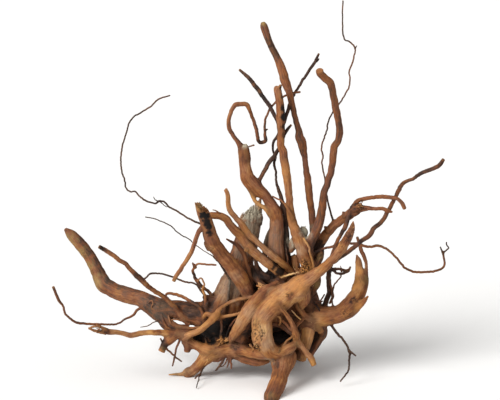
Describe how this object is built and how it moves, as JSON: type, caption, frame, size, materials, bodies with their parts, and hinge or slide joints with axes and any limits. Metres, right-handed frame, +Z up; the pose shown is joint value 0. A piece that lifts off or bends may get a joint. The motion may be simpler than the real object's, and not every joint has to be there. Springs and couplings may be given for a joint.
{
  "type": "spiderwood root",
  "caption": "Branching piece of knotted aquarium wood: a dense crown with a curled front strap, long bare stems, fine hair-like twigs and short feet it stands on.",
  "frame": {"origin": "middle of the outer box on the floor the three feet stand on", "axes": "+Z up, -Y toward the side the picture shows, +X to the right of that side"},
  "size_m": [0.3992, 0.1898, 0.3799],
  "materials": {
    "spiderwood_root": "dry bare wood, bark gone, matt"
  },
  "bodies": {
    "root": {"spiderwood_root": "spiderwood_root"}
  },
  "joints": []
}
